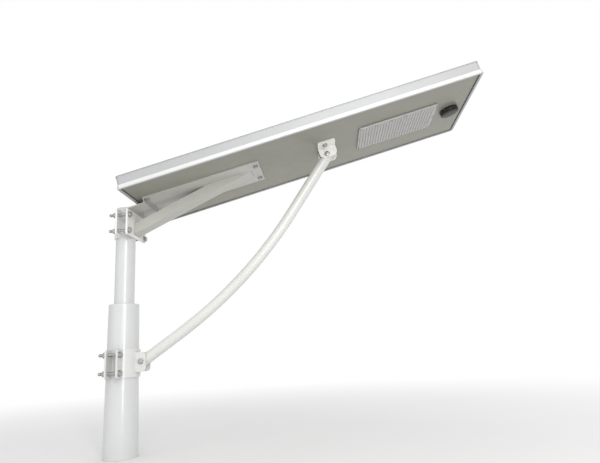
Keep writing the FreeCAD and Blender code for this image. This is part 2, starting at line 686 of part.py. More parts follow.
# ---- underside sheet and cross members -----------------------------------------------------
def underside():
    edge = bead_inner + sheet_gap
    sheet = box((lamp_start + edge, lamp_end - edge), (-half + edge, half - edge),
                (sheet_h, sheet_top))
    window = box((lens_x[0] + window_inset, lens_x[1] - window_inset),
                 (-lens_half + window_inset, lens_half - window_inset),
                 (sheet_h - 1, sheet_top + 1))
    stem = rod(sensor_stem_r + hole_clear, (sensor_x, 0, 0), (0, 0, 1), lamp_depth)
    cutters = [window, stem] + flange_holes(base_bolts + bracket_bolts)
    add_to_lamp("underside_sheet", cut_all(sheet, cutters + lens_screw_holes()))

    groove = box((lamp_start + bead_inner, lamp_end - bead_inner),
                 (-half + bead_inner, half - bead_inner), (sheet_h, sheet_top))
    groove = rounded(groove, corner_r - bead_inner, lambda c, e: runs_along(e, Z_AXIS))
    add_to_lamp("sheet_gasket", groove.cut(sheet))

    member_half = half - sheet_ledge_u - 0.5
    tab_half = half - bead_inner - 0.5
    members = []
    for x in (base_bolt_x[0], base_bolt_x[1], bracket_pivot):
        wide = (x - cross_width / 2, x + cross_width / 2)
        floor = box(wide, (-member_half, member_half), (sheet_top, nut_seat))
        webs = [box((a, a + cross_t), (-member_half, member_half), (sheet_top, nut_seat + cross_web))
                for a in (wide[0], wide[1] - cross_t)]
        tabs = [box(wide, y, (ledge_top, ledge_top + cross_t))
                for y in ((-tab_half, 20 - member_half), (member_half - 20, tab_half))]
        member = floor.multiFuse(webs + tabs).removeSplitter()
        members.append(cut_all(member, flange_holes(base_bolts + bracket_bolts)))
    add_to_lamp("cross_members", *members)


# ---- LED module ----------------------------------------------------------------------------
def lens_screw_places():
    inset = lens_rim / 2
    xs = [lens_x[0] + inset + i * (lens_length - 2 * inset) / 5 for i in range(6)]
    ys = (-lens_half + inset, lens_half - inset)
    sides = [(x, 0) for x in (xs[0], xs[-1])]
    return [(x, y) for x in xs for y in ys] + sides


def lens_screw_holes():
    return [rod(lens_screw_r + 0.1, (x, y, lens_low - 1), (0, 0, 1), sheet_top + 30)
            for x, y in lens_screw_places()]


def led_module():
    lens_top = sheet_h - lens_gasket_t
    plate = box(lens_x, (-lens_half, lens_half), (lens_low, lens_top))
    plate = rounded(plate, lens_corner, lambda c, e: runs_along(e, Z_AXIS))
    room_x = (lens_x[0] + lens_rim, lens_x[1] - lens_rim)
    room_y = (-lens_half + lens_rim, lens_half - lens_rim)
    room = box(room_x, room_y, (lens_low + lens_face_t, lens_top + 1))
    add_to_lamp("lens_plate", cut_all(plate.cut(room), lens_screw_holes()))
    gasket = box(lens_x, (-lens_half, lens_half), (lens_top, sheet_h))
    gasket = rounded(gasket, lens_corner, lambda c, e: runs_along(e, Z_AXIS))
    window_x = (lens_x[0] + window_inset, lens_x[1] - window_inset)
    window_half = lens_half - window_inset
    gasket = gasket.cut(box(window_x, (-window_half, window_half), (lens_top - 1, sheet_h + 1)))
    add_to_lamp("lens_gasket", cut_all(gasket, lens_screw_holes()))

    board_x = (window_x[0] + 2, window_x[1] - 2)
    board_half = window_half - 2
    board_low = sheet_top - led_board_t
    add_to_lamp("led_board", box(board_x, (-board_half, board_half), (board_low, sheet_top)))
    pitch_x = (board_x[1] - board_x[0]) / led_columns
    pitch_y = 2 * board_half / led_rows
    chips = []
    for i in range(led_columns):
        for j in range(led_rows):
            x = board_x[0] + (i + 0.5) * pitch_x - led_chip / 2
            y = -board_half + (j + 0.5) * pitch_y - led_chip / 2
            chips.append(box((x, x + led_chip), (y, y + led_chip),
                             (board_low - led_chip_t, board_low)))
    add_to_lamp("led_chips", *chips)

    over_x = (lens_x[0] - spreader_over, lens_x[1] + spreader_over)
    over_half = lens_half + spreader_over
    spreader = box(over_x, (-over_half, over_half), (sheet_top, sheet_top + spreader_t))
    fins = []
    for k in range(fin_count):
        y = -over_half + (k + 0.5) * 2 * over_half / fin_count
        fins.append(box((over_x[0] + 10, over_x[1] - 10), (y - fin_t / 2, y + fin_t / 2),
                        (sheet_top, sheet_top + spreader_t + fin_height)))
    spreader = spreader.multiFuse(fins).removeSplitter()
    add_to_lamp("heat_spreader", cut_all(spreader, lens_screw_holes()))
    screws = []
    for x, y in lens_screw_places():
        head = rod(2 * lens_screw_r, (x, y, lens_low - 1.5), (0, 0, 1), 1.5)
        shank = rod(lens_screw_r, (x, y, lens_low), (0, 0, 1),
                    sheet_top + spreader_t - lens_low)
        screws.append(head.fuse(shank))
    add_to_lamp("lens_screws", *screws)


# ---- motion sensor -------------------------------------------------------------------------
def motion_sensor():
    centre = (sensor_x, 0)
    inner_r = sensor_r - sensor_wall
    body = rod(sensor_r, (*centre, -sensor_drop), (0, 0, 1), sensor_drop + sheet_h)
    stem = rod(sensor_stem_r, (*centre, sheet_h), (0, 0, 1), sensor_stem_top - sheet_h)
    room = rod(inner_r, (*centre, -sensor_drop - 1), (0, 0, 1), sensor_drop + 1)
    bore = rod(sensor_stem_r - sensor_wall, (*centre, -1), (0, 0, 1), sensor_stem_top + 2)
    add_to_lamp("sensor_housing", body.fuse(stem).cut(room).cut(bore))
    add_to_lamp("sensor_nut", ring(sensor_stem_r + 9, sensor_stem_r + thread_clear,
                                   (*centre, sheet_top), (0, 0, 1), 7))
    # the window: a plug in the housing's mouth with a shallow domed face
    rim_low = -sensor_drop - sensor_dome_drop + sensor_dome_sag
    plug = rod(inner_r, (*centre, -sensor_drop), (0, 0, 1), 4)
    face = rod(sensor_r, (*centre, rim_low), (0, 0, 1), -sensor_drop - rim_low)
    sphere_r = (sensor_r ** 2 + sensor_dome_sag ** 2) / (2 * sensor_dome_sag)
    dome_centre = Vector(*centre, rim_low - sensor_dome_sag + sphere_r)
    dome = Part.makeSphere(sphere_r, dome_centre).common(
        rod(sensor_r, (*centre, rim_low - 2 * sensor_dome_sag), (0, 0, 1), 2 * sensor_dome_sag))
    add_to_lamp("sensor_window", plug.multiFuse([face, dome]).removeSplitter())
    board_low = -sensor_drop + 4
    add_to_lamp("sensor_board", rod(inner_r - 1, (*centre, board_low + 6), (0, 0, 1),
                                    -board_low - 6))
    add_to_lamp("sensor_detector", rod(4.6, (*centre, board_low), (0, 0, 1), 6))


# ---- battery and controller ------------------------------------------------------------------
def battery():
    mid = sum(base_bolt_x) / 2
    size_x = battery_columns * battery_pitch_x + tray_clear
    size_y = battery_rows * battery_pitch_y + tray_clear
    xs, ys = (mid - size_x / 2, mid + size_x / 2), (-size_y / 2, size_y / 2)
    tray = box(xs, ys, (sheet_top, sheet_top + tray_rim))
    room = box((xs[0] + tray_t, xs[1] - tray_t), (ys[0] + tray_t, ys[1] - tray_t),
               (sheet_top + tray_t, lamp_depth))
    add_to_lamp("battery_tray", tray.cut(room))
    floor = sheet_top + tray_t
    cells = []
    for i in range(battery_columns):
        for j in range(battery_rows):
            x = mid + (i - (battery_columns - 1) / 2) * battery_pitch_x
            y = (j - battery_rows / 2) * battery_pitch_y + (battery_pitch_y - battery_cell_length) / 2
            cells.append(rod(battery_cell_r, (x, y, floor + battery_cell_r), (0, 1, 0),
                             battery_cell_length))
    add_to_lamp("battery_cells", *cells)
    straps = []
    strap_low = floor + 2 * battery_cell_r
    for j in (-1, 1):
        y = j * battery_pitch_y
        wide = (y - strap_width / 2, y + strap_width / 2)
        top = box((xs[0] - strap_t, xs[1] + strap_t), wide, (strap_low, strap_low + strap_t))
        sides = [box(x, wide, (sheet_top, strap_low))
                 for x in ((xs[0] - strap_t, xs[0]), (xs[1], xs[1] + strap_t))]
        straps.append(top.multiFuse(sides).removeSplitter())
    add_to_lamp("battery_straps", *straps)


def charge_controller():
    long_side, short_side, depth = controller
    x = lens_x[0]
    y = lens_half + spreader_over + controller_gap
    xs, ys = (x, x + long_side), (y, y + short_side)
    case = box(xs, ys, (sheet_top, sheet_top + depth - controller_wall))
    room_x = (xs[0] + controller_wall, xs[1] - controller_wall)
    room_y = (ys[0] + controller_wall, ys[1] - controller_wall)
    room = box(room_x, room_y, (sheet_top + controller_wall, lamp_depth))
    add_to_lamp("controller_case", case.cut(room))
    add_to_lamp("controller_lid", box(xs, ys, (sheet_top + depth - controller_wall,
                                               sheet_top + depth)))
    board_low = sheet_top + controller_wall
    add_to_lamp("controller_board", box((room_x[0] + 0.5, room_x[1] - 0.5),
                                        (room_y[0] + 0.5, room_y[1] - 0.5),
                                        (board_low, board_low + led_board_t)))


pole()
upper_clamp()
arm_bracket()
strut()
strut_bracket()
flange_fasteners()
lower_clamp()
lamp_frame()
solar_panel()
underside()
led_module()
motion_sensor()
battery()
charge_controller()

os.makedirs("parts", exist_ok=True)
for name, shape in nodes.items():
    shape.exportStep("parts/" + name + ".step")
    solids = shape.Solids
    print(f"{name:20s} solids {len(solids):3d}  volume {shape.Volume / 1000:10.1f} cm3"
          f"  valid {shape.isValid()}")
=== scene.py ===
import json
import math

import bmesh
import bpy
from mathutils import Matrix, Vector


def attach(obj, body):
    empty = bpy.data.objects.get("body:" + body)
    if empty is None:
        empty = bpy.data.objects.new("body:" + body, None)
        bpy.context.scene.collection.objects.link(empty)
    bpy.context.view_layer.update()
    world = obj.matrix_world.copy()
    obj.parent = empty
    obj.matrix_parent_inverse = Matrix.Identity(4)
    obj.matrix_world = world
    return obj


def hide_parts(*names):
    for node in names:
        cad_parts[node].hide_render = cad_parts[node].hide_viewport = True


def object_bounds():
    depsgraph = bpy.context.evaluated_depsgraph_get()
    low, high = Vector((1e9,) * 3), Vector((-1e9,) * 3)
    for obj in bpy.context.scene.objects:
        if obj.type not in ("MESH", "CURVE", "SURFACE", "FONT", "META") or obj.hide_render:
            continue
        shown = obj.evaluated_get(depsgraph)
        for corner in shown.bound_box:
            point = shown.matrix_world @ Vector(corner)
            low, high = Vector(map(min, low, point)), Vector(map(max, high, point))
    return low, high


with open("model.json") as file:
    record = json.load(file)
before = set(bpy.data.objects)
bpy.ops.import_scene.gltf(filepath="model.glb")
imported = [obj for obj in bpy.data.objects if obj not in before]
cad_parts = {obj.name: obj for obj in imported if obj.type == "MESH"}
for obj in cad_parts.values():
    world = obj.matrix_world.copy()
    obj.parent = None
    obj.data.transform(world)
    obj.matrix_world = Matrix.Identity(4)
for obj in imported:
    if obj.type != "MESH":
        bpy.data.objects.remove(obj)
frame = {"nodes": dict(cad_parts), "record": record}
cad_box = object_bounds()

MM = 0.001
LAMP_TILT = math.radians(14.1)
LAMP_DATUM_Z = 929 * MM
LAMP = Matrix.Translation((0, 0, LAMP_DATUM_Z)) @ Matrix.Rotation(-LAMP_TILT, 4, "Y")
ROW = Matrix.Identity(4)
HEAD = "head"
POLE = "pole"


# ---- reading the frame -------------------------------------------------------------------
def extent(points, place):
    """Lowest and highest corner of some points, as place's own axes see them."""
    inverse = place.inverted()
    local = [inverse @ p for p in points]
    low = Vector([min(p[i] for p in local) for i in range(3)])
    high = Vector([max(p[i] for p in local) for i in range(3)])
    return low, high


def node_box(node, place=LAMP):
    return extent([v.co for v in frame["nodes"][node].data.vertices], place)


def solids(node):
    """The points of each separate solid of a node, in the order of the node's mesh."""
    mesh = bmesh.new()
    mesh.from_mesh(frame["nodes"][node].data)
    bmesh.ops.remove_doubles(mesh, verts=mesh.verts, dist=1e-6)
    seen = set()
    groups = []
    for first in mesh.verts:
        if first in seen:
            continue
        seen.add(first)
        stack = [first]
        group = []
        while stack:
            vert = stack.pop()
            group.append(vert.co.copy())
            for edge in vert.link_edges:
                other = edge.other_vert(vert)
                if other not in seen:
                    seen.add(other)
                    stack.append(other)
        groups.append(group)
    mesh.free()
    return groups


# ---- mesh makers ---------------------------------------------------------------------------
def finish_mesh(name, mesh, body, material, replaces=(), smooth=30.0):
    """Turns a bmesh into a piece that rides on a body."""
    bmesh.ops.remove_doubles(mesh, verts=mesh.verts, dist=1e-6)
    bmesh.ops.recalc_face_normals(mesh, faces=mesh.faces)
    data = bpy.data.meshes.new(name)
    mesh.to_mesh(data)
    mesh.free()
    data.materials.append(material)
    piece = bpy.data.objects.new(name, data)
    bpy.context.scene.collection.objects.link(piece)
    data.shade_smooth()
    data.set_sharp_from_angle(angle=math.radians(smooth))
    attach(piece, body)
    if replaces:
        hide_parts(*replaces)
    return piece


def add_loft(mesh, rings, cap_start=True, cap_end=True):
    """A skin through rings of points, each ring closed."""
    loops = [[mesh.verts.new(p) for p in ring] for ring in rings]
    count = len(loops[0])
    for a, b in zip(loops, loops[1:]):
        for i in range(count):
            j = (i + 1) % count
            mesh.faces.new((a[i], a[j], b[j], b[i]))
    if cap_start:
        mesh.faces.new(list(reversed(loops[0])))
    if cap_end:
        mesh.faces.new(loops[-1])


def angles(count):
    return [2 * math.pi * i / count for i in range(count)]


def circle(radius, height, place, count):
    return [place @ Vector((radius * math.cos(a), radius * math.sin(a), height))
            for a in angles(count)]


def add_lathe(mesh, profile, place, count=48, closed=False):
    """Turns (radius, height) points round place's z axis."""
    rings = [circle(r, z, place, count) for r, z in profile]
    if closed:
        rings.append(rings[0])
    add_loft(mesh, rings, not closed, not closed)


def rounded_outline(low, high, radius, steps=6):
    """Points round a rectangle with rounded corners, in a plane."""
    corners = ((high[0] - radius, high[1] - radius, 0), (low[0] + radius, high[1] - radius, 90),
               (low[0] + radius, low[1] + radius, 180), (high[0] - radius, low[1] + radius, 270))
    points = []
    for x, y, start in corners:
        for i in range(steps + 1):
            angle = math.radians(start + 90 * i / steps)
            points.append((x + radius * math.cos(angle), y + radius * math.sin(angle)))
    return points


def inset(outline, distance, centre):
    """The outline drawn in by about distance on every side of centre."""
    points = []
    for x, y in outline:
        dx, dy = x - centre[0], y - centre[1]
        points.append((x - math.copysign(min(distance, abs(dx)), dx),
                       y - math.copysign(min(distance, abs(dy)), dy)))
    return points


def add_slab(mesh, low, high, radius, edge, place, steps=6):
    """A flat slab with rounded corners and softened edges, between two corners."""
    outline = rounded_outline(low, high, radius, steps)
    centre = ((low[0] + high[0]) / 2, (low[1] + high[1]) / 2)
    drawn_in = inset(outline, edge, centre)
    third = edge * 0.3
    part_in = inset(outline, third, centre)
    levels = ((drawn_in, low[2]), (part_in, low[2] + third), (outline, low[2] + edge),
              (outline, high[2] - edge), (part_in, high[2] - third), (drawn_in, high[2]))
    add_loft(mesh, [[place @ Vector((x, y, z)) for x, y in points] for points, z in levels])


def soften(node, width=0.6 * MM, segments=2):
    """Rounds the sharp edges of a CAD node's shown mesh."""
    piece = frame["nodes"][node]
    flat = piece.modifiers.new("flat", "DECIMATE")
    flat.decimate_type = "DISSOLVE"
    flat.angle_limit = math.radians(0.4)
    bevel = piece.modifiers.new("edges", "BEVEL")
    bevel.width = width
    bevel.segments = segments
    bevel.limit_method = "ANGLE"
    bevel.angle_limit = math.radians(40)
    bevel.harden_normals = True
    bevel.miter_outer = "MITER_ARC"


# ---- materials -----------------------------------------------------------------------------
class Shader:
    """A Principled material and short ways to feed its sockets."""

    def __init__(self, name, **sockets):
        self.material = bpy.data.materials.new(name)
        self.material.use_nodes = True
        self.tree = self.material.node_tree
        self.main = self.tree.nodes["Principled BSDF"]
        self.where = self.add("ShaderNodeTexCoord").outputs["Object"]
        for key, value in sockets.items():
            self.main.inputs[key.replace("_", " ")].default_value = value

    def add(self, kind, **values):
        node = self.tree.nodes.new(kind)
        for key, value in values.items():
            node.inputs[key.replace("_", " ")].default_value = value
        return node

    def link(self, output, target):
        self.tree.links.new(output, target)

    def mapped(self, scale=(1, 1, 1), turn=(0, 0, 0)):
        node = self.add("ShaderNodeMapping", Scale=scale, Rotation=turn)
        self.link(self.where, node.inputs["Vector"])
        return node.outputs["Vector"]

    def noise(self, scale, detail=3.0, roughness=0.55, vector=None):
        node = self.add("ShaderNodeTexNoise", Scale=scale, Detail=detail, Roughness=roughness)
        self.link(vector or self.where, node.inputs["Vector"])
        return node.outputs["Fac"]

    def spread(self, value, low, high, start=0.3, end=0.7):
        """A value brought from start..end to low..high."""
        node = self.add("ShaderNodeMapRange", From_Min=start, From_Max=end, To_Min=low, To_Max=high)
        self.link(value, node.inputs["Value"])
        return node.outputs["Result"]

    def mix(self, factor, first, second):
        """A colour between two, each a colour or another socket."""
        node = self.add("ShaderNodeMix")
        node.data_type = "RGBA"
        self.link(factor, node.inputs["Factor"])
        for socket, value in ((node.inputs[6], first), (node.inputs[7], second)):
            if hasattr(value, "default_value"):
                self.link(value, socket)
            else:
                socket.default_value = (*value, 1)
        return node.outputs[2]

    def maths(self, operation, first, second=0.0):
        node = self.add("ShaderNodeMath")
        node.operation = operation
        for socket, value in zip(node.inputs, (first, second)):
            if hasattr(value, "default_value"):
                self.link(value, socket)
            else:
                socket.default_value = value
        return node.outputs[0]

    def height_in_lamp(self):
        """Height above the lamp's underside plane."""
        shift = self.add("ShaderNodeVectorMath")
        shift.operation = "SUBTRACT"
        shift.inputs[1].default_value = (0, 0, LAMP_DATUM_Z)
        self.link(self.where, shift.inputs[0])
        turn = self.add("ShaderNodeMapping", Rotation=(0, LAMP_TILT, 0))
        self.link(shift.outputs[0], turn.inputs["Vector"])
        split = self.add("ShaderNodeSeparateXYZ")
        self.link(turn.outputs["Vector"], split.inputs["Vector"])
        return split.outputs["Z"]

    def colour(self, output):
        self.link(output, self.main.inputs["Base Color"])

    def mottled(self, scale, colour, shade, detail=3.0, start=0.3, end=0.7):
        """A tone that wanders between two colours, in patches of about 1 / scale metres."""
        patches = self.spread(self.noise(scale, detail), 0.0, 1.0, start, end)
        return self.mix(patches, colour, shade)

    def roughness(self, output):
        self.link(output, self.main.inputs["Roughness"])

    def bump(self, height, strength, distance):
        node = self.add("ShaderNodeBump", Strength=strength, Distance=distance)
        self.link(height, node.inputs["Height"])
        self.link(node.outputs["Normal"], self.main.inputs["Normal"])


LAMP_TURN = (0, LAMP_TILT, 0)
PEEL = 0.02                # strength of the paint's orange peel
FINE = 0.2 * MM            # depth of grain and drawing lines

# Where the long rails take painted light and shade: heights above the underside, and distances
# from the lamp's middle plane across it. Outside the second distance the bead gets a painted
# highlight, inside it a painted shade; the top lip gets a painted shade.
BEAD_TOP = (15.5 * MM, 17.0 * MM)
BEAD_SHADE_TO_HIGHLIGHT = (242 * MM, 246 * MM)
TOP_LIP_SHADE = (49.6 * MM, 50.2 * MM)


def powder_coat(name, colour, shade, roughness):
    """Paint with a fine orange peel and faint cloudy dirt."""
    s = Shader(name, Metallic=0.0, Coat_Weight=0.35, Coat_Roughness=0.12)
    s.colour(s.mottled(9.0, colour, shade, 4.0, 0.35, 0.7))
    s.roughness(s.spread(s.noise(24.0), roughness - 0.03, roughness + 0.04, 0.15, 0.85))
    s.bump(s.noise(55.0, 2.0), PEEL, 1.0 * MM)
    return s.material


def extruded(name, colour, shade, roughness, bead_highlight=None):
    """Anodised aluminium with drawing lines along the lamp.

    With a bead highlight colour, the bead's outer half gets it as a painted highlight, its inner
    half the darker tone as painted shade, and the top lip a darker painted shade.
    """
    s = Shader(name, Metallic=0.2)
    lines = s.noise(3.0, 5.0, 0.7, s.mapped((1.5, 260, 260), LAMP_TURN))
    tone = s.mottled(5.0, colour, shade)
    if bead_highlight:
        height = s.height_in_lamp()
        across = s.add("ShaderNodeSeparateXYZ")
        s.link(s.where, across.inputs[0])
        outward = s.maths("ABSOLUTE", across.outputs["Y"])
        # Painted light on the bottom bead: highlight on its outer half, shade on its inner half.
        bead_highlight_and_shade = s.mix(s.spread(outward, 0.0, 1.0, *BEAD_SHADE_TO_HIGHLIGHT), shade, bead_highlight)
        tone = s.mix(s.spread(height, 0.0, 1.0, *BEAD_TOP), bead_highlight_and_shade, tone)
        # Painted shade along the top lip.
        lip_painted_shade = tuple(0.55 * part for part in shade)
        tone = s.mix(s.spread(height, 0.0, 1.0, *TOP_LIP_SHADE), tone, lip_painted_shade)
    s.colour(tone)
    s.roughness(s.spread(lines, roughness - 0.05, roughness + 0.08))
    s.bump(lines, 0.10, FINE)
    return s.material


def plated(name, colour, shade, roughness):
    """Zinc plating, a little blotched."""
    s = Shader(name, Metallic=0.9)
    s.colour(s.mottled(140.0, colour, shade, 5.0, 0.35, 0.65))
    s.roughness(s.spread(s.noise(300.0), roughness - 0.08, roughness + 0.12))
    s.bump(s.noise(900.0, 2.0), 0.15, FINE)
    return s.material


def moulded(name, colour, shade, roughness, grain=600.0):
    """Moulded plastic or rubber with a fine grain."""
    s = Shader(name)
    s.colour(s.mottled(30.0, colour, shade))
    s.roughness(s.spread(s.noise(90.0), roughness - 0.05, roughness + 0.08))
    s.bump(s.noise(grain, 2.0), 0.25, FINE)
    return s.material


POLE_PAINT = powder_coat("pole_paint", (0.60, 0.61, 0.605), (0.58, 0.59, 0.585), 0.22)
BRACKET_PAINT = powder_coat("bracket_paint", (0.79, 0.785, 0.745), (0.76, 0.755, 0.71), 0.38)
# The arm, base plate, neck plate and bracket welds wear the bracket's paint; this darker copy is
# painted shade.
ARM_SHADED_PAINT = powder_coat("arm_shaded_paint", (0.46, 0.455, 0.42), (0.44, 0.435, 0.40), 0.38)
# The strut, lower clamp and clevis welds wear the bracket's paint too; this darker copy is painted
# shade.
STRUT_SHADED_PAINT = powder_coat("strut_shaded_paint", (0.64, 0.64, 0.615), (0.62, 0.62, 0.595), 0.34)
# The long rails carry a painted highlight on the bead, painted shade on its inner half and on the
# top lip.
RAIL = extruded("rail_anodised", (0.43, 0.43, 0.43), (0.405, 0.41, 0.415), 0.42,
                bead_highlight=(0.66, 0.66, 0.66))
# The end rails are the same extrusion as the long rails; this darker copy is painted shade.
END_RAIL_SHADED = extruded("end_rail_shaded_anodised", (0.40, 0.40, 0.40), (0.375, 0.38, 0.385), 0.42)
INNER_METAL = extruded("inner_metal", (0.66, 0.67, 0.69), (0.60, 0.61, 0.63), 0.42)
# The underside sheet is grey; its colour is darkened further as painted shade for the lamp's
# underside.
SHEET_SHADED = powder_coat("sheet_shaded_paint", (0.240, 0.234, 0.190), (0.222, 0.216, 0.172), 0.45)
ZINC = plated("zinc", (0.50, 0.50, 0.51), (0.36, 0.36, 0.37), 0.34)
RIBBON = plated("ribbon", (0.72, 0.74, 0.76), (0.62, 0.64, 0.66), 0.30)
SEAL = moulded("seal", (0.025, 0.025, 0.025), (0.04, 0.04, 0.038), 0.75)
CASE_BLACK = moulded("case_black", (0.03, 0.03, 0.03), (0.045, 0.045, 0.045), 0.55)
SENSOR_BLACK = moulded("sensor_black", (0.012, 0.012, 0.013), (0.02, 0.02, 0.02), 0.22,
                       grain=900.0)
FILM_WHITE = moulded("film_white", (0.80, 0.81, 0.82), (0.74, 0.75, 0.77), 0.5)
BOARD_WHITE = moulded("board_white", (0.84, 0.84, 0.82), (0.78, 0.78, 0.75), 0.4)
BOARD_GREEN = moulded("board_green", (0.02, 0.16, 0.07), (0.015, 0.11, 0.05), 0.4)
SLEEVE = moulded("cell_sleeve", (0.03, 0.13, 0.42), (0.02, 0.10, 0.34), 0.3)


def phosphor():
    s = Shader("led_phosphor", Roughness=0.35)
    s.colour(s.mottled(500.0, (0.85, 0.68, 0.16), (0.78, 0.58, 0.10)))
    return s.material


def lens_plastic(name, colour, shade):
    """Frosted moulded plastic."""
    s = Shader(name, IOR=1.49)
    s.colour(s.mottled(40.0, colour, shade))
    s.roughness(s.spread(s.noise(50.0), 0.30, 0.36, 0.15, 0.85))
    return s.material


def smoked_plastic():
    s = Shader("smoked_plastic", Specular_IOR_Level=0.3)
    s.colour(s.mottled(60.0, (0.016, 0.016, 0.015), (0.010, 0.010, 0.009)))
    s.roughness(s.spread(s.noise(200.0), 0.22, 0.32))
    s.bump(s.noise(500.0), 0.1, FINE)
    return s.material


def silicon():
    """Dark blue cells crossed by fine silver fingers."""
    s = Shader("silicon", Coat_Weight=0.2, Coat_Roughness=0.06, Specular_IOR_Level=0.25)
    across = s.add("ShaderNodeSeparateXYZ")
    s.link(s.mapped((1, 1, 1), LAMP_TURN), across.inputs["Vector"])
    fingers_per_metre, half_width = 500.0, 0.045
    place = s.maths("MULTIPLY", across.outputs["X"], fingers_per_metre)
    finger = s.maths("LESS_THAN", s.maths("PINGPONG", place, 0.5), half_width)
    blue = s.mottled(14.0, (0.012, 0.030, 0.095), (0.020, 0.048, 0.140), 4.0)
    s.colour(s.mix(finger, blue, (0.35, 0.38, 0.42)))
    s.roughness(s.spread(s.noise(40.0), 0.15, 0.25))
    return s.material


def cover_glass():
    s = Shader("cover_glass", IOR=1.5, Alpha=0.16)
    s.colour(s.mottled(4.0, (0.030, 0.045, 0.060), (0.024, 0.038, 0.052)))
    s.roughness(s.spread(s.noise(30.0), 0.03, 0.07))
    return s.material


PHOSPHOR = phosphor()
LENS = lens_plastic("lens_plastic", (0.46, 0.45, 0.44), (0.41, 0.405, 0.40))
# The flat web between the lenses has the dark inside of the lamp behind it; its darker copy of the
# lens plastic is painted shade.
LENS_WEB_SHADED = lens_plastic("lens_web_shaded_plastic", (0.24, 0.235, 0.23), (0.20, 0.20, 0.195))
SMOKED = smoked_plastic()
SILICON = silicon()
GLASS = cover_glass()

FINISH = {
    "pole_grey": POLE_PAINT, "bracket_white": BRACKET_PAINT, "fastener_steel": ZINC,
    "frame_silver": RAIL, "inner_aluminium": INNER_METAL, "underside_grey": SHEET_SHADED,
    "seal_black": SEAL, "cover_glass": GLASS, "cell_blue": SILICON, "film_clear": GLASS,
    "film_white": FILM_WHITE, "lens_clear": LENS, "board_white": BOARD_WHITE,
    "board_green": BOARD_GREEN, "led_yellow": PHOSPHOR, "case_black": CASE_BLACK,
    "sensor_black": SENSOR_BLACK, "sensor_grey": SMOKED, "cell_wrap": SLEEVE,
}


def paint_nodes():
    """Every CAD node takes the finish of its slot in the record, or a darker copy of it as painted
    shade.
    """
    slots = {part["node"]: part["material_slot"] for part in frame["record"]["subparts"]}
    # Darker copies of the slot's finish: painted shade on the arm, plates, lower clamps and end
    # rails.
    shaded_copies = {"bracket_arm": ARM_SHADED_PAINT, "base_plate": ARM_SHADED_PAINT, "neck_plate": ARM_SHADED_PAINT,
           "lower_clamp_front": STRUT_SHADED_PAINT, "lower_clamp_rear": STRUT_SHADED_PAINT,
           "rail_inner_end": END_RAIL_SHADED, "rail_outer_end": END_RAIL_SHADED}
    for name, piece in frame["nodes"].items():
        piece.data.materials.clear()
        piece.data.materials.append(shaded_copies.get(name, FINISH[slots[name]]))


paint_nodes()


# ---- pole ----------------------------------------------------------------------------------
# In millimetres.
SHAFT_TOP = 557
SHAFT_TOP_R = 57
SHAFT_TAPER = 0.011
SHAFT_WALL = 5
SHOULDER = 8
SOCKET_R = 57.25
SOCKET_DEPTH = 120
TENON_R = 38
TENON_BORE_R = 34


def shaft_r(z):
    """The shaft's outer radius at a height, both in millimetres."""
    return SHAFT_TOP_R + SHAFT_TAPER * (SHAFT_TOP - z)


def lathe_piece(name, profile, body, material, replaces, place=ROW, count=96):
    """A piece turned from (radius, height) points in millimetres."""
    mesh = bmesh.new()
    add_lathe(mesh, [(r * MM, z * MM) for r, z in profile], place, count, closed=True)
    return finish_mesh(name, mesh, body, material, replaces)


def heights(node):
    """Lowest and highest point of a node, in millimetres."""
    low, high = node_box(node, ROW)
    return low.z / MM, high.z / MM


def pole():
    edge = 0.8
    top, high = SHAFT_TOP, SHAFT_TOP - SHOULDER
    low_r, high_r = shaft_r(0), shaft_r(high)
    lathe_piece("shaft_tube", [
        (low_r - edge, 0), (low_r, edge), (high_r, high), (high_r - SHAFT_WALL, high),
        (shaft_r(SOCKET_DEPTH) - SHAFT_WALL, SOCKET_DEPTH), (SOCKET_R, SOCKET_DEPTH),
        (SOCKET_R, 1.0), (SOCKET_R + 0.75, 0)],
        POLE, POLE_PAINT, ["pole_shaft"])
    lathe_piece("shoulder_ring", [
        (high_r, high), (57.0, top - 2.2), (56.5, top - 0.9), (55.4, top - 0.15), (54.2, top),
        (TENON_R, top), (TENON_R, high)], POLE, POLE_PAINT, ["pole_reducer"])
    low, high = heights("pole_tenon")
    lathe_piece("tenon_tube", [
        (TENON_R, low + 0.5), (TENON_R, high), (TENON_BORE_R, high), (TENON_BORE_R, low),
        (TENON_R - 0.5, low)], POLE, POLE_PAINT, ["pole_tenon"])
    low, high = heights("pole_cap")
    under = high - 3
    lathe_piece("tenon_cap", [
        (TENON_R, under), (TENON_R, high - 1.4), (TENON_R - 0.5, high - 0.5),
        (TENON_R - 1.4, high), (1, high), (1, under), (31, under), (31, low),
        (TENON_BORE_R, low), (TENON_BORE_R, under)],
        POLE, POLE_PAINT, ["pole_cap"])


# ---- weld beads ----------------------------------------------------------------------------
WELD_R = 2.4 * MM
THIN_WELD_R = 2.0 * MM


def add_bead(mesh, corners, radius, closed=False):
    """A weld bead along a line of corners, with the ripple its pool leaves."""
    step, ripple = 0.9 * MM, 3.4 * MM
    path = []
    ends = corners[1:] + corners[:1] if closed else corners[1:]
    for a, b in zip(corners, ends):
        count = max(1, round((b - a).length / step))
        path += [a.lerp(b, i / count) for i in range(count)]
    if not closed:
        path.append(corners[-1])
    rings = []
    for i, point in enumerate(path):
        after = path[(i + 1) % len(path)] if closed else path[min(i + 1, len(path) - 1)]
        before = path[i - 1] if closed or i else path[0]
        along = (after - before).normalized()
        side = along.orthogonal() if abs(along.z) > 0.9 else along.cross((0, 0, 1))
        side.normalize()
        other = along.cross(side)
        thick = radius * (1 + 0.10 * math.sin(2 * math.pi * i * step / ripple))
        if not closed:
            from_end = min(i, len(path) - 1 - i)
            thick *= min(1.0, 0.35 + 0.2 * from_end)
        rings.append([point + thick * (math.cos(a) * side + math.sin(a) * other)
                      for a in angles(10)])
    if closed:
        rings.append(rings[0])
    add_loft(mesh, rings, not closed, not closed)


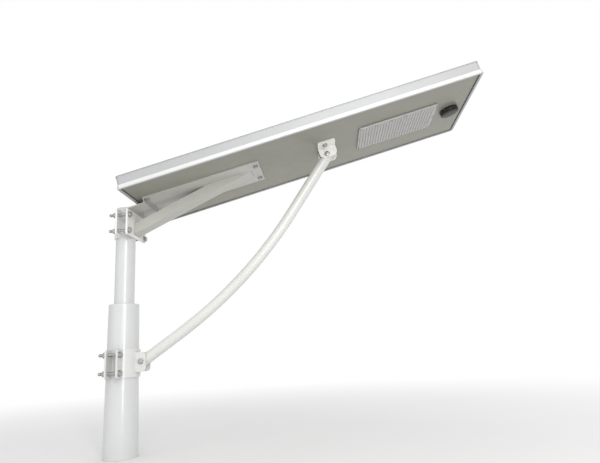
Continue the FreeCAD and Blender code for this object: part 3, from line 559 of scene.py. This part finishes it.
def bracket_beads(mesh):
    """Round the arm's root, round its top end, and across both ends of the neck plate."""
    close = 0.1 * MM
    plate = node_box("clamp_plate", ROW)
    front = plate[1].x
    arm = [v.co for v in frame["nodes"]["bracket_arm"].data.vertices]
    low, high = extent([p for p in arm if p.x < front + close], ROW)
    corners = [Vector((front, y, z)) for y, z in
               ((low.y, low.z), (high.y, low.z), (high.y, high.z), (low.y, high.z))]
    add_bead(mesh, corners, WELD_R, closed=True)

    under = node_box("base_plate")[0].z
    inverse = LAMP.inverted()
    arm = [inverse @ p for p in arm]
    low, high = extent([p for p in arm if p.z > under - close], ROW)
    corners = [LAMP @ Vector((x, y, under)) for x, y in
               ((low.x, low.y), (high.x, low.y), (high.x, high.y), (low.x, high.y))]
    add_bead(mesh, corners, WELD_R)

    neck = node_box("neck_plate")
    half = neck[1].y - 6 * MM
    add_bead(mesh, [LAMP @ Vector((neck[1].x, y, under)) for y in (-half, half)], THIN_WELD_R)
    height = neck[0].z / math.cos(LAMP_TILT) + LAMP_DATUM_Z + front * math.tan(LAMP_TILT)
    ends = (plate[0].y + 8 * MM, plate[1].y - 8 * MM)
    add_bead(mesh, [Vector((front, y, height)) for y in ends], THIN_WELD_R)


def clevis_beads(mesh):
    """Down both of the lower clamp's clevis ears, where they meet its band."""
    low, high = 303 * MM, 369 * MM
    ear, band = 27.2 * MM, (shaft_r(333) + 5.0) * MM
    x = math.sqrt(band ** 2 - ear ** 2)
    for y in (-ear, ear):
        add_bead(mesh, [Vector((x, y, low)), Vector((x - 0.4 * MM, y, high))], THIN_WELD_R)


def shoulder_bead(mesh):
    ring = circle((TENON_R + 0.6) * MM, (SHAFT_TOP + 0.3) * MM, ROW, 120)
    add_bead(mesh, ring, 2.2 * MM, closed=True)


def welds():
    mesh = bmesh.new()
    bracket_beads(mesh)
    finish_mesh("bracket_welds", mesh, HEAD, ARM_SHADED_PAINT, smooth=60)

    mesh = bmesh.new()
    clevis_beads(mesh)
    finish_mesh("clevis_welds", mesh, HEAD, STRUT_SHADED_PAINT, smooth=60)

    mesh = bmesh.new()
    shoulder_bead(mesh)
    finish_mesh("shoulder_weld", mesh, POLE, POLE_PAINT, smooth=60)


# ---- fasteners -----------------------------------------------------------------------------
# Sizes in millimetres: shank, hexagon across flats, heights of head and nut, washer, pitch.
M12 = {"d": 12, "flats": 19, "head": 7.5, "nut": 10, "washer_r": 12, "pitch": 1.75}
M10 = {"d": 10, "flats": 17, "head": 6.4, "nut": 8, "washer_r": 10.5, "pitch": 1.5}
AROUND = 36


def axial(node, direction, place=ROW):
    """Each solid's frame, with z from its start end along direction, and its length."""
    direction = Vector(direction)
    axis = max(range(3), key=lambda i: abs(direction[i]))
    turn = direction.to_track_quat("Z", "X").to_matrix().to_4x4()
    found = []
    for points in solids(node):
        low, high = extent(points, place)
        start = (low + high) / 2
        start[axis] = low[axis] if direction[axis] > 0 else high[axis]
        found.append((place @ Matrix.Translation(start) @ turn, high[axis] - low[axis]))
    return found


def ring_at(place, radius, height, count=AROUND):
    """A ring whose radius and height may each depend on the angle."""
    points = []
    for a in angles(count):
        r = radius(a) if callable(radius) else radius
        z = height(a) if callable(height) else height
        points.append(place @ Vector((r * math.cos(a), r * math.sin(a), z)))
    return points


def hex_r(flats):
    """Radius of a hexagon with a corner on the x axis."""
    return lambda a: flats / 2 / math.cos((a + 1e-9) % (math.pi / 3) - math.pi / 6)


def hex_rings(size, height, place, low_chamfer):
    """From a round lower face up a hexagon with turned corners to a round upper face."""
    flats = size["flats"] * MM
    face = flats / 2 * 0.96
    radius = hex_r(flats)
    rings = []

    def drop(a):
        return (radius(a) - face) * math.tan(math.radians(28))

    if low_chamfer:
        rings += [ring_at(place, face, 0), ring_at(place, radius, drop)]
    else:
        rings += [ring_at(place, face, 0), ring_at(place, lambda a: radius(a) - 0.3 * MM, 0),
                  ring_at(place, radius, 0.3 * MM)]
    rings += [ring_at(place, radius, lambda a: height - drop(a)), ring_at(place, face, height)]
    return rings


def thread_r(crest, depth, turns):
    """Radius round the bolt where the thread has made some turns."""
    def radius(angle):
        part = (turns - angle / (2 * math.pi)) % 1
        return crest - depth * (1 - abs(2 * part - 1))
    return radius


def add_bolt(mesh, size, place, length, thread):
    """A hex bolt; z = 0 is the top of its head and z runs to the tip."""
    head = size["head"] * MM
    radius = size["d"] / 2 * MM
    flipped = place @ Matrix.Translation((0, 0, head)) @ Matrix.Rotation(math.pi, 4, "X")
    rings = hex_rings(size, head, flipped, False)
    dish = (ring_at(flipped, radius * 0.62, head - 0.35 * MM),
            ring_at(flipped, radius * 0.70, head))
    rings = [list(reversed(r)) for r in (*dish, *reversed(rings))]
    rings = [r[-1:] + r[:-1] for r in rings]
    rings += [ring_at(place, radius, head + 0.01 * MM)]
    pitch = size["pitch"] * MM
    start = length - thread
    rings.append(ring_at(place, radius, start))
    depth = 0.5 * pitch
    rings_per_turn, fade_rings = 6, 8
    steps = int((thread - 1.2 * MM) / pitch * rings_per_turn)
    for i in range(1, steps):
        z = start + i * pitch / rings_per_turn
        fade = min(1.0, i / fade_rings)
        rings.append(ring_at(place, thread_r(radius, depth * fade, z / pitch), z))
    rings += [ring_at(place, radius - depth, length - 0.9 * MM),
              ring_at(place, radius - depth - 0.9 * MM, length)]
    add_loft(mesh, rings)


def add_nut(mesh, size, place):
    height = size["nut"] * MM
    bore = size["d"] / 2 * MM + 0.05 * MM
    rings = hex_rings(size, height, place, True)
    rings += [ring_at(place, bore + 0.8 * MM, height), ring_at(place, bore, height - 0.8 * MM),
              ring_at(place, bore, 0.8 * MM), ring_at(place, bore + 0.8 * MM, 0)]
    add_loft(mesh, rings + rings[:1], False, False)


def add_washer(mesh, size, place, thick):
    outer, inner, edge = size["washer_r"] * MM, (size["d"] / 2 + 0.05) * MM, 0.3 * MM
    add_lathe(mesh, [(inner, 0), (outer - edge, 0), (outer, edge), (outer, thick - edge),
                     (outer - edge, thick), (inner, thick)], place, AROUND, closed=True)


def fastener_set(name, size, direction, thread, place=ROW):
    """Bolts, washers and nuts of one family; the bolts' heads are at the start end."""
    mesh = bmesh.new()
    for spot, length in axial(name + "_bolts", direction, place):
        add_bolt(mesh, size, spot, length, thread)
    finish_mesh(name + "_hex_bolts", mesh, HEAD, ZINC, [name + "_bolts"])
    mesh = bmesh.new()
    for spot, length in axial(name + "_washers", direction, place):
        add_washer(mesh, size, spot, length)
    finish_mesh(name + "_flat_washers", mesh, HEAD, ZINC, [name + "_washers"])
    mesh = bmesh.new()
    for spot, length in axial(name + "_nuts", direction, place):
        add_nut(mesh, size, spot)
    finish_mesh(name + "_hex_nuts", mesh, HEAD, ZINC, [name + "_nuts"])


def add_lens_screw(mesh, place, length, count=24):
    """A small screw with a domed head and a hexagon socket; z = 0 is the top of its head."""
    socket = hex_r(2.2 * MM)
    rings = [ring_at(place, lambda a: socket(a) * 0.9, 1.0 * MM, count),
             ring_at(place, socket, 0.05 * MM, count)]
    profile = [(2.0, 0), (2.6, 0.25), (2.95, 0.75), (3.0, 1.5), (1.5, 1.5),
               (1.5, length / MM - 0.5), (1.0, length / MM)]
    rings += [circle(r * MM, z * MM, place, count) for r, z in profile]
    add_loft(mesh, rings)


def fasteners():
    fastener_set("clamp", M12, (-1, 0, 0), thread=52 * MM)
    fastener_set("lower_clamp", M12, (-1, 0, 0), thread=60 * MM)
    fastener_set("pivot", M10, (0, 1, 0), thread=16 * MM)
    fastener_set("flange", M10, (0, 0, 1), thread=16 * MM, place=LAMP)
    mesh = bmesh.new()
    for spot, length in axial("lens_screws", (0, 0, 1), LAMP):
        add_lens_screw(mesh, spot, length)
    finish_mesh("lens_screw_set", mesh, HEAD, ZINC, ["lens_screws"])


# ---- strut -----------------------------------------------------------------------------------
def strut():
    """The bent tube: straight, one long bend, straight; its lower end is cut upright."""
    radius, wall, count = 21.2 * MM, 2.5 * MM, 56
    bend_run, bend_depth, bend_r = 484.5 * MM, 101.6 * MM, 1715 * MM
    past_pivot = 17 * MM
    pivots = [Vector((spot.translation.x, 0, spot.translation.z))
              for spot, _ in axial("pivot_bolts", (0, 1, 0))]
    low, high = sorted(pivots, key=lambda p: p.x)
    along = (high - low).normalized()
    below = Vector((along.z, 0, -along.x))
    corner = low + bend_run * along + bend_depth * below
    down, up = (low - corner).normalized(), (high - corner).normalized()
    half_turn = (math.pi - down.angle(up)) / 2
    tangent = bend_r * math.tan(half_turn)
    centre = corner + (down + up).normalized() * bend_r / math.cos(half_turn)
    into = corner + down * tangent
    path = [(low, -down)]
    steps = 40
    for i in range(steps + 1):
        turn = Matrix.Rotation(-2 * half_turn * i / steps, 3, "Y")
        path.append((centre + turn @ (into - centre), turn @ -down))
    path.append((high + up * past_pivot, up))

    cut = node_box("strut_tube", ROW)[0].x
    mesh = bmesh.new()
    skins = []
    for r in (radius, radius - wall):
        skin = []
        for k, (point, ahead) in enumerate(path):
            normal = Vector((-ahead.z, 0, ahead.x))
            ring = [point + r * (math.cos(a) * normal + math.sin(a) * Vector((0, 1, 0)))
                    for a in angles(count)]
            if k == 0:
                ring = [p + ahead * ((cut - p.x) / ahead.x) for p in ring]
            skin.append(ring)
        skins.append(skin)
    rings = skins[0] + list(reversed(skins[1]))
    add_loft(mesh, rings + rings[:1], False, False)
    finish_mesh("strut_bent_tube", mesh, HEAD, STRUT_SHADED_PAINT, ["strut_tube"])


# ---- lens ------------------------------------------------------------------------------------
def on_outline(u, v, low, high, radius):
    """A point on a rounded rectangle, for a point (u, v) on the edge of the square -1..1."""
    x = (low[0] + high[0]) / 2 + u * (high[0] - low[0]) / 2
    y = (low[1] + high[1]) / 2 + v * (high[1] - low[1]) / 2
    centre = Vector((min(max(x, low[0] + radius), high[0] - radius),
                     min(max(y, low[1] + radius), high[1] - radius)))
    out = Vector((x, y)) - centre
    return centre + out.normalized() * radius if out.length > 1e-9 else centre


# Counts of the lenses along and across the lamp, and mesh steps over each.
LENS_COLUMNS, LENS_ROWS, LENS_STEPS = 26, 8, 10
DOME_HALF = 0.86           # half width of a dome, as a share of half its place
DENT = 0.5                 # how deep the lenses of a column part from each other
DOME_HEIGHT = 2.8 * MM


def lens_face(mesh, low, high, face):
    """The field of lenses between two corners; returns its points by row and column."""
    nx, ny = LENS_COLUMNS * LENS_STEPS, LENS_ROWS * LENS_STEPS
    grid = {}
    rises = {}
    for i in range(nx + 1):
        for j in range(ny + 1):
            a = 2 * ((i / LENS_STEPS) % 1) - 1
            b = 2 * ((j / LENS_STEPS) % 1) - 1
            bulge = 1 - (a / DOME_HALF) ** 2 - DENT * b ** 8
            rises[i, j] = DOME_HEIGHT * math.sqrt(max(bulge, 0.0))
            point = Vector((low.x + (high.x - low.x) * i / nx,
                            low.y + (high.y - low.y) * j / ny, face - rises[i, j]))
            grid[i, j] = mesh.verts.new(LAMP @ point)
    for i in range(nx):
        for j in range(ny):
            keys = ((i, j), (i, j + 1), (i + 1, j + 1), (i + 1, j))
            patch = mesh.faces.new([grid[key] for key in keys])
            flat_corners = sum(rises[key] < 0.2 * MM for key in keys)
            # Faces of the flat web take the second material, the painted shade.
            patch.material_index = 1 if flat_corners >= 2 else 0
    return grid, nx, ny


def lens():
    """One moulded plate with a field of small elongated lenses on its face."""
    low, high = node_box("lens_plate")
    face = low.z + DOME_HEIGHT
    margin = Vector((6 * MM, 6 * MM, 0))
    mesh = bmesh.new()
    grid, nx, ny = lens_face(mesh, low + margin, high - margin, face)
    edge = [(i, 0) for i in range(nx)] + [(nx, j) for j in range(ny)]
    edge += [(i, ny) for i in range(nx, 0, -1)] + [(0, j) for j in range(ny, 0, -1)]
    previous = [grid[key] for key in edge]
    corner = 5 * MM
    levels = ((1.2, 0.0), (0.5, 0.25), (0.0, 1.0), (0.0, 4.6), (0.0, (high.z - face) / MM))
    for inward, rise in levels:
        d = inward * MM
        loop = []
        for i, j in edge:
            spot = on_outline(2 * i / nx - 1, 2 * j / ny - 1, (low.x + d, low.y + d),
                              (high.x - d, high.y - d), corner - d)
            loop.append(mesh.verts.new(LAMP @ Vector((spot.x, spot.y, face + rise * MM))))
        for k in range(len(edge)):
            n = (k + 1) % len(edge)
            mesh.faces.new((previous[k], previous[n], loop[n], loop[k]))
        previous = loop
    mesh.faces.new(list(reversed(previous)))
    piece = finish_mesh("moulded_lens", mesh, HEAD, LENS, ["lens_plate"], smooth=40)
    # Second material: the web's painted shade.
    piece.data.materials.append(LENS_WEB_SHADED)


# ---- motion sensor ---------------------------------------------------------------------------
def sensor():
    """A round housing with grip ribs and a window of facets; profiles in millimetres."""
    low, high = node_box("sensor_housing")
    centre = LAMP @ Matrix.Translation(((low.x + high.x) / 2, 0, 0))
    profile = [(34, -12), (36.6, -12), (37.4, -11.2), (37.4, -4.4), (38, -3.6), (38, 2.6),
               (37.2, 4), (22, 4), (22, 20), (18, 20), (18, 1), (34, 1)]
    lathe_piece("sensor_shell", profile, HEAD, SENSOR_BLACK, ["sensor_housing"],
                centre)
    mesh = bmesh.new()
    rib_low, rib_high = Vector((36.2, -1.6, -10.6)) * MM, Vector((37.9, 1.6, -5.2)) * MM
    for a in angles(12):
        turn = centre @ Matrix.Rotation(a, 4, "Z")
        add_slab(mesh, rib_low, rib_high, 0.5 * MM, 0.4 * MM, turn, 3)
    finish_mesh("sensor_grips", mesh, HEAD, SENSOR_BLACK)
    mesh = bmesh.new()
    profile = [(33.9, -8), (33.9, -12), (36.2, -12.05), (36.6, -14.2), (32.5, -15.9),
               (25, -17.0), (16, -17.6), (7, -17.9), (1, -18)]
    add_loft(mesh, [circle(r * MM, z * MM, centre, 18) for r, z in profile])
    finish_mesh("sensor_lens", mesh, HEAD, SMOKED, ["sensor_window"], smooth=4)


# ---- solar panel -----------------------------------------------------------------------------
def solar_panel():
    """Cells with clipped corners and silver bars, under one slab of glass."""
    cells, bars = bmesh.new(), bmesh.new()
    corner = 9 * MM
    bar_count, bar_half, bar_t, bar_short = 5, 0.7 * MM, 0.15 * MM, 1.0 * MM
    for points in solids("solar_cells"):
        low, high = extent(points, LAMP)
        outline = [(high.x, high.y - corner), (high.x - corner, high.y), (low.x + corner, high.y),
                   (low.x, high.y - corner), (low.x, low.y + corner), (low.x + corner, low.y),
                   (high.x - corner, low.y), (high.x, low.y + corner)]
        add_loft(cells, [[LAMP @ Vector((x, y, z)) for x, y in outline] for z in (low.z, high.z)])
        for k in range(bar_count):
            y = low.y + (high.y - low.y) * (k + 0.5) / bar_count
            add_slab(bars, (low.x + bar_short, y - bar_half, high.z),
                     (high.x - bar_short, y + bar_half, high.z + bar_t),
                     0.3 * MM, 0.04 * MM, LAMP, 2)
    finish_mesh("cell_plates", cells, HEAD, SILICON, ["solar_cells"])
    finish_mesh("busbars", bars, HEAD, RIBBON)
    low, high = node_box("solar_glass")
    over_bars = 0.1 * MM
    low.z = node_box("solar_cells")[1].z + bar_t + over_bars
    glass = bmesh.new()
    add_slab(glass, low, high, 8.5 * MM, 0.4 * MM, LAMP)
    finish_mesh("panel_glass", glass, HEAD, GLASS, ["solar_glass", "encapsulant"])


# ---- inside the lamp ---------------------------------------------------------------------------
def battery():
    """Wrapped cells with a bare rim, a positive button and a flat negative end."""
    sleeves, caps = bmesh.new(), bmesh.new()
    for spot, length in axial("battery_cells", (0, 1, 0), LAMP):
        high = length / MM
        rim = high - 1.2
        sleeve = [(13.6, 0.4), (15.4, 0), (16, 0.7), (16, rim - 0.7), (15.4, rim),
                  (13.6, rim), (13.6, rim - 0.6), (13.6, 1.2)]
        ends = [(1, 0.6), (13.5, 0.6), (13.5, high - 1.5), (6, high - 1.5),
                (5.6, high - 0.2), (5, high), (1, high)]
        add_lathe(sleeves, [(r * MM, z * MM) for r, z in sleeve], spot, 32, closed=True)
        add_lathe(caps, [(r * MM, z * MM) for r, z in ends], spot, 32)
    finish_mesh("cell_sleeves", sleeves, HEAD, SLEEVE, ["battery_cells"])
    finish_mesh("cell_caps", caps, HEAD, ZINC)


# Widths of softened edges, in millimetres.
SOFT_EDGES = {
    "clamp_plate": 0.8, "clamp_saddle": 0.8, "neck_plate": 0.7, "base_plate": 0.8,
    "bracket_arm": 1.2, "strut_bracket_near": 0.8, "strut_bracket_far": 0.8,
    "lower_clamp_front": 0.8, "lower_clamp_rear": 0.8, "rail_near": 0.35, "rail_far": 0.35,
    "rail_inner_end": 0.35, "rail_outer_end": 0.35, "cross_members": 0.4, "battery_tray": 0.4,
    "controller_case": 0.8, "controller_lid": 0.6, "junction_box": 1.5, "heat_spreader": 0.4,
}

pole()
welds()
fasteners()
strut()
lens()
sensor()
solar_panel()
battery()
for node, width in SOFT_EDGES.items():
    soften(node, width * MM)


# ---- studio --------------------------------------------------------------------------------
def camera():
    """Below and in front of the lamp, looking up at its underside."""
    right = Vector((0.99612, 0.06584, -0.05841))
    up = Vector((0.07222, -0.23211, 0.97001))
    forward = Vector((-0.0503, 0.9705, 0.2360))
    data = bpy.data.cameras.new("camera")
    data.lens = 29.45
    data.sensor_width = 36.0
    data.clip_end = 100.0
    view = bpy.data.objects.new("camera", data)
    bpy.context.scene.collection.objects.link(view)
    axes = Matrix((right, up, -forward)).transposed().to_4x4()
    view.matrix_world = Matrix.Translation((0.8054, -1.8924, 0.3408)) @ axes
    bpy.context.scene.camera = view


def area_light(name, place, target, size, power):
    data = bpy.data.lights.new(name, "AREA")
    data.shape = "RECTANGLE"
    data.size, data.size_y = size
    data.energy = power
    light = bpy.data.objects.new(name, data)
    light.location = place
    light.rotation_mode = "QUATERNION"
    light.rotation_quaternion = (Vector(target) - Vector(place)).to_track_quat("-Z", "Y")
    bpy.context.scene.collection.objects.link(light)


def sideways(shader, vector, near=0.0):
    """Brightness of the surroundings, darker to both sides; it evens out within near.

    The dark sides are what shades the edges of the round white tubes.
    """
    size = shader.add("ShaderNodeVectorMath")
    size.operation = "LENGTH"
    shader.link(vector, size.inputs[0])
    split = shader.add("ShaderNodeSeparateXYZ")
    shader.link(vector, split.inputs[0])
    reach = shader.maths("ADD", size.outputs["Value"], near)
    aside = shader.maths("DIVIDE", shader.maths("ABSOLUTE", split.outputs["X"]), reach)
    darkest, fade_start, fade_end = 0.60, 0.60, 0.98
    fade = shader.spread(aside, 1.0, darkest, fade_start, fade_end)
    fade.node.interpolation_type = "SMOOTHERSTEP"
    return fade


def floor():
    """A pale floor that turns into the glowing background, away from the object."""
    glow_start, glow_full, edge = 0.5, 4.0, 60.0
    mesh = bmesh.new()
    bmesh.ops.create_circle(mesh, cap_ends=True, radius=edge, segments=96)
    data = bpy.data.meshes.new("floor")
    mesh.to_mesh(data)
    mesh.free()
    plane = bpy.data.objects.new("floor", data)
    plane.location = (0, 0, cad_box[0].z)
    pale = Shader("floor", Roughness=0.9, Specular_IOR_Level=0.0)
    reach = pale.add("ShaderNodeVectorMath")
    reach.operation = "LENGTH"
    pale.link(pale.where, reach.inputs[0])
    away = pale.spread(reach.outputs["Value"], 0.0, 1.0, glow_start, glow_full)
    away.node.interpolation_type = "SMOOTHSTEP"
    near = pale.mottled(1.2, (0.76, 0.76, 0.76), (0.74, 0.74, 0.74))
    pale.colour(pale.mix(away, near, (0.0, 0.0, 0.0)))
    pale.main.inputs["Emission Color"].default_value = (1, 1, 1, 1)
    glow = pale.maths("MULTIPLY", away, sideways(pale, pale.where, 1.0))
    pale.link(glow, pale.main.inputs["Emission Strength"])
    data.materials.append(pale.material)
    bpy.context.scene.collection.objects.link(plane)


class WorldShader(Shader):
    def __init__(self, world):
        world.use_nodes = True
        self.tree = world.node_tree
        self.where = self.add("ShaderNodeTexCoord").outputs["Generated"]


def studio():
    world = bpy.data.worlds.new("studio")
    sky = WorldShader(world)
    back = sky.tree.nodes["Background"]
    back.inputs["Color"].default_value = (1, 1, 1, 1)
    sky.link(sideways(sky, sky.where), back.inputs["Strength"])
    bpy.context.scene.world = world
    bpy.context.scene.view_settings.view_transform = "Standard"
    area_light("key", (1.0, -3.4, 2.3), (0.4, 0, 0.9), (0.9, 3.6), 30)
    area_light("strip", (1.55, -2.7, 0.9), (0, 0, 0.6), (0.22, 2.4), 34)


camera()
floor()
studio()
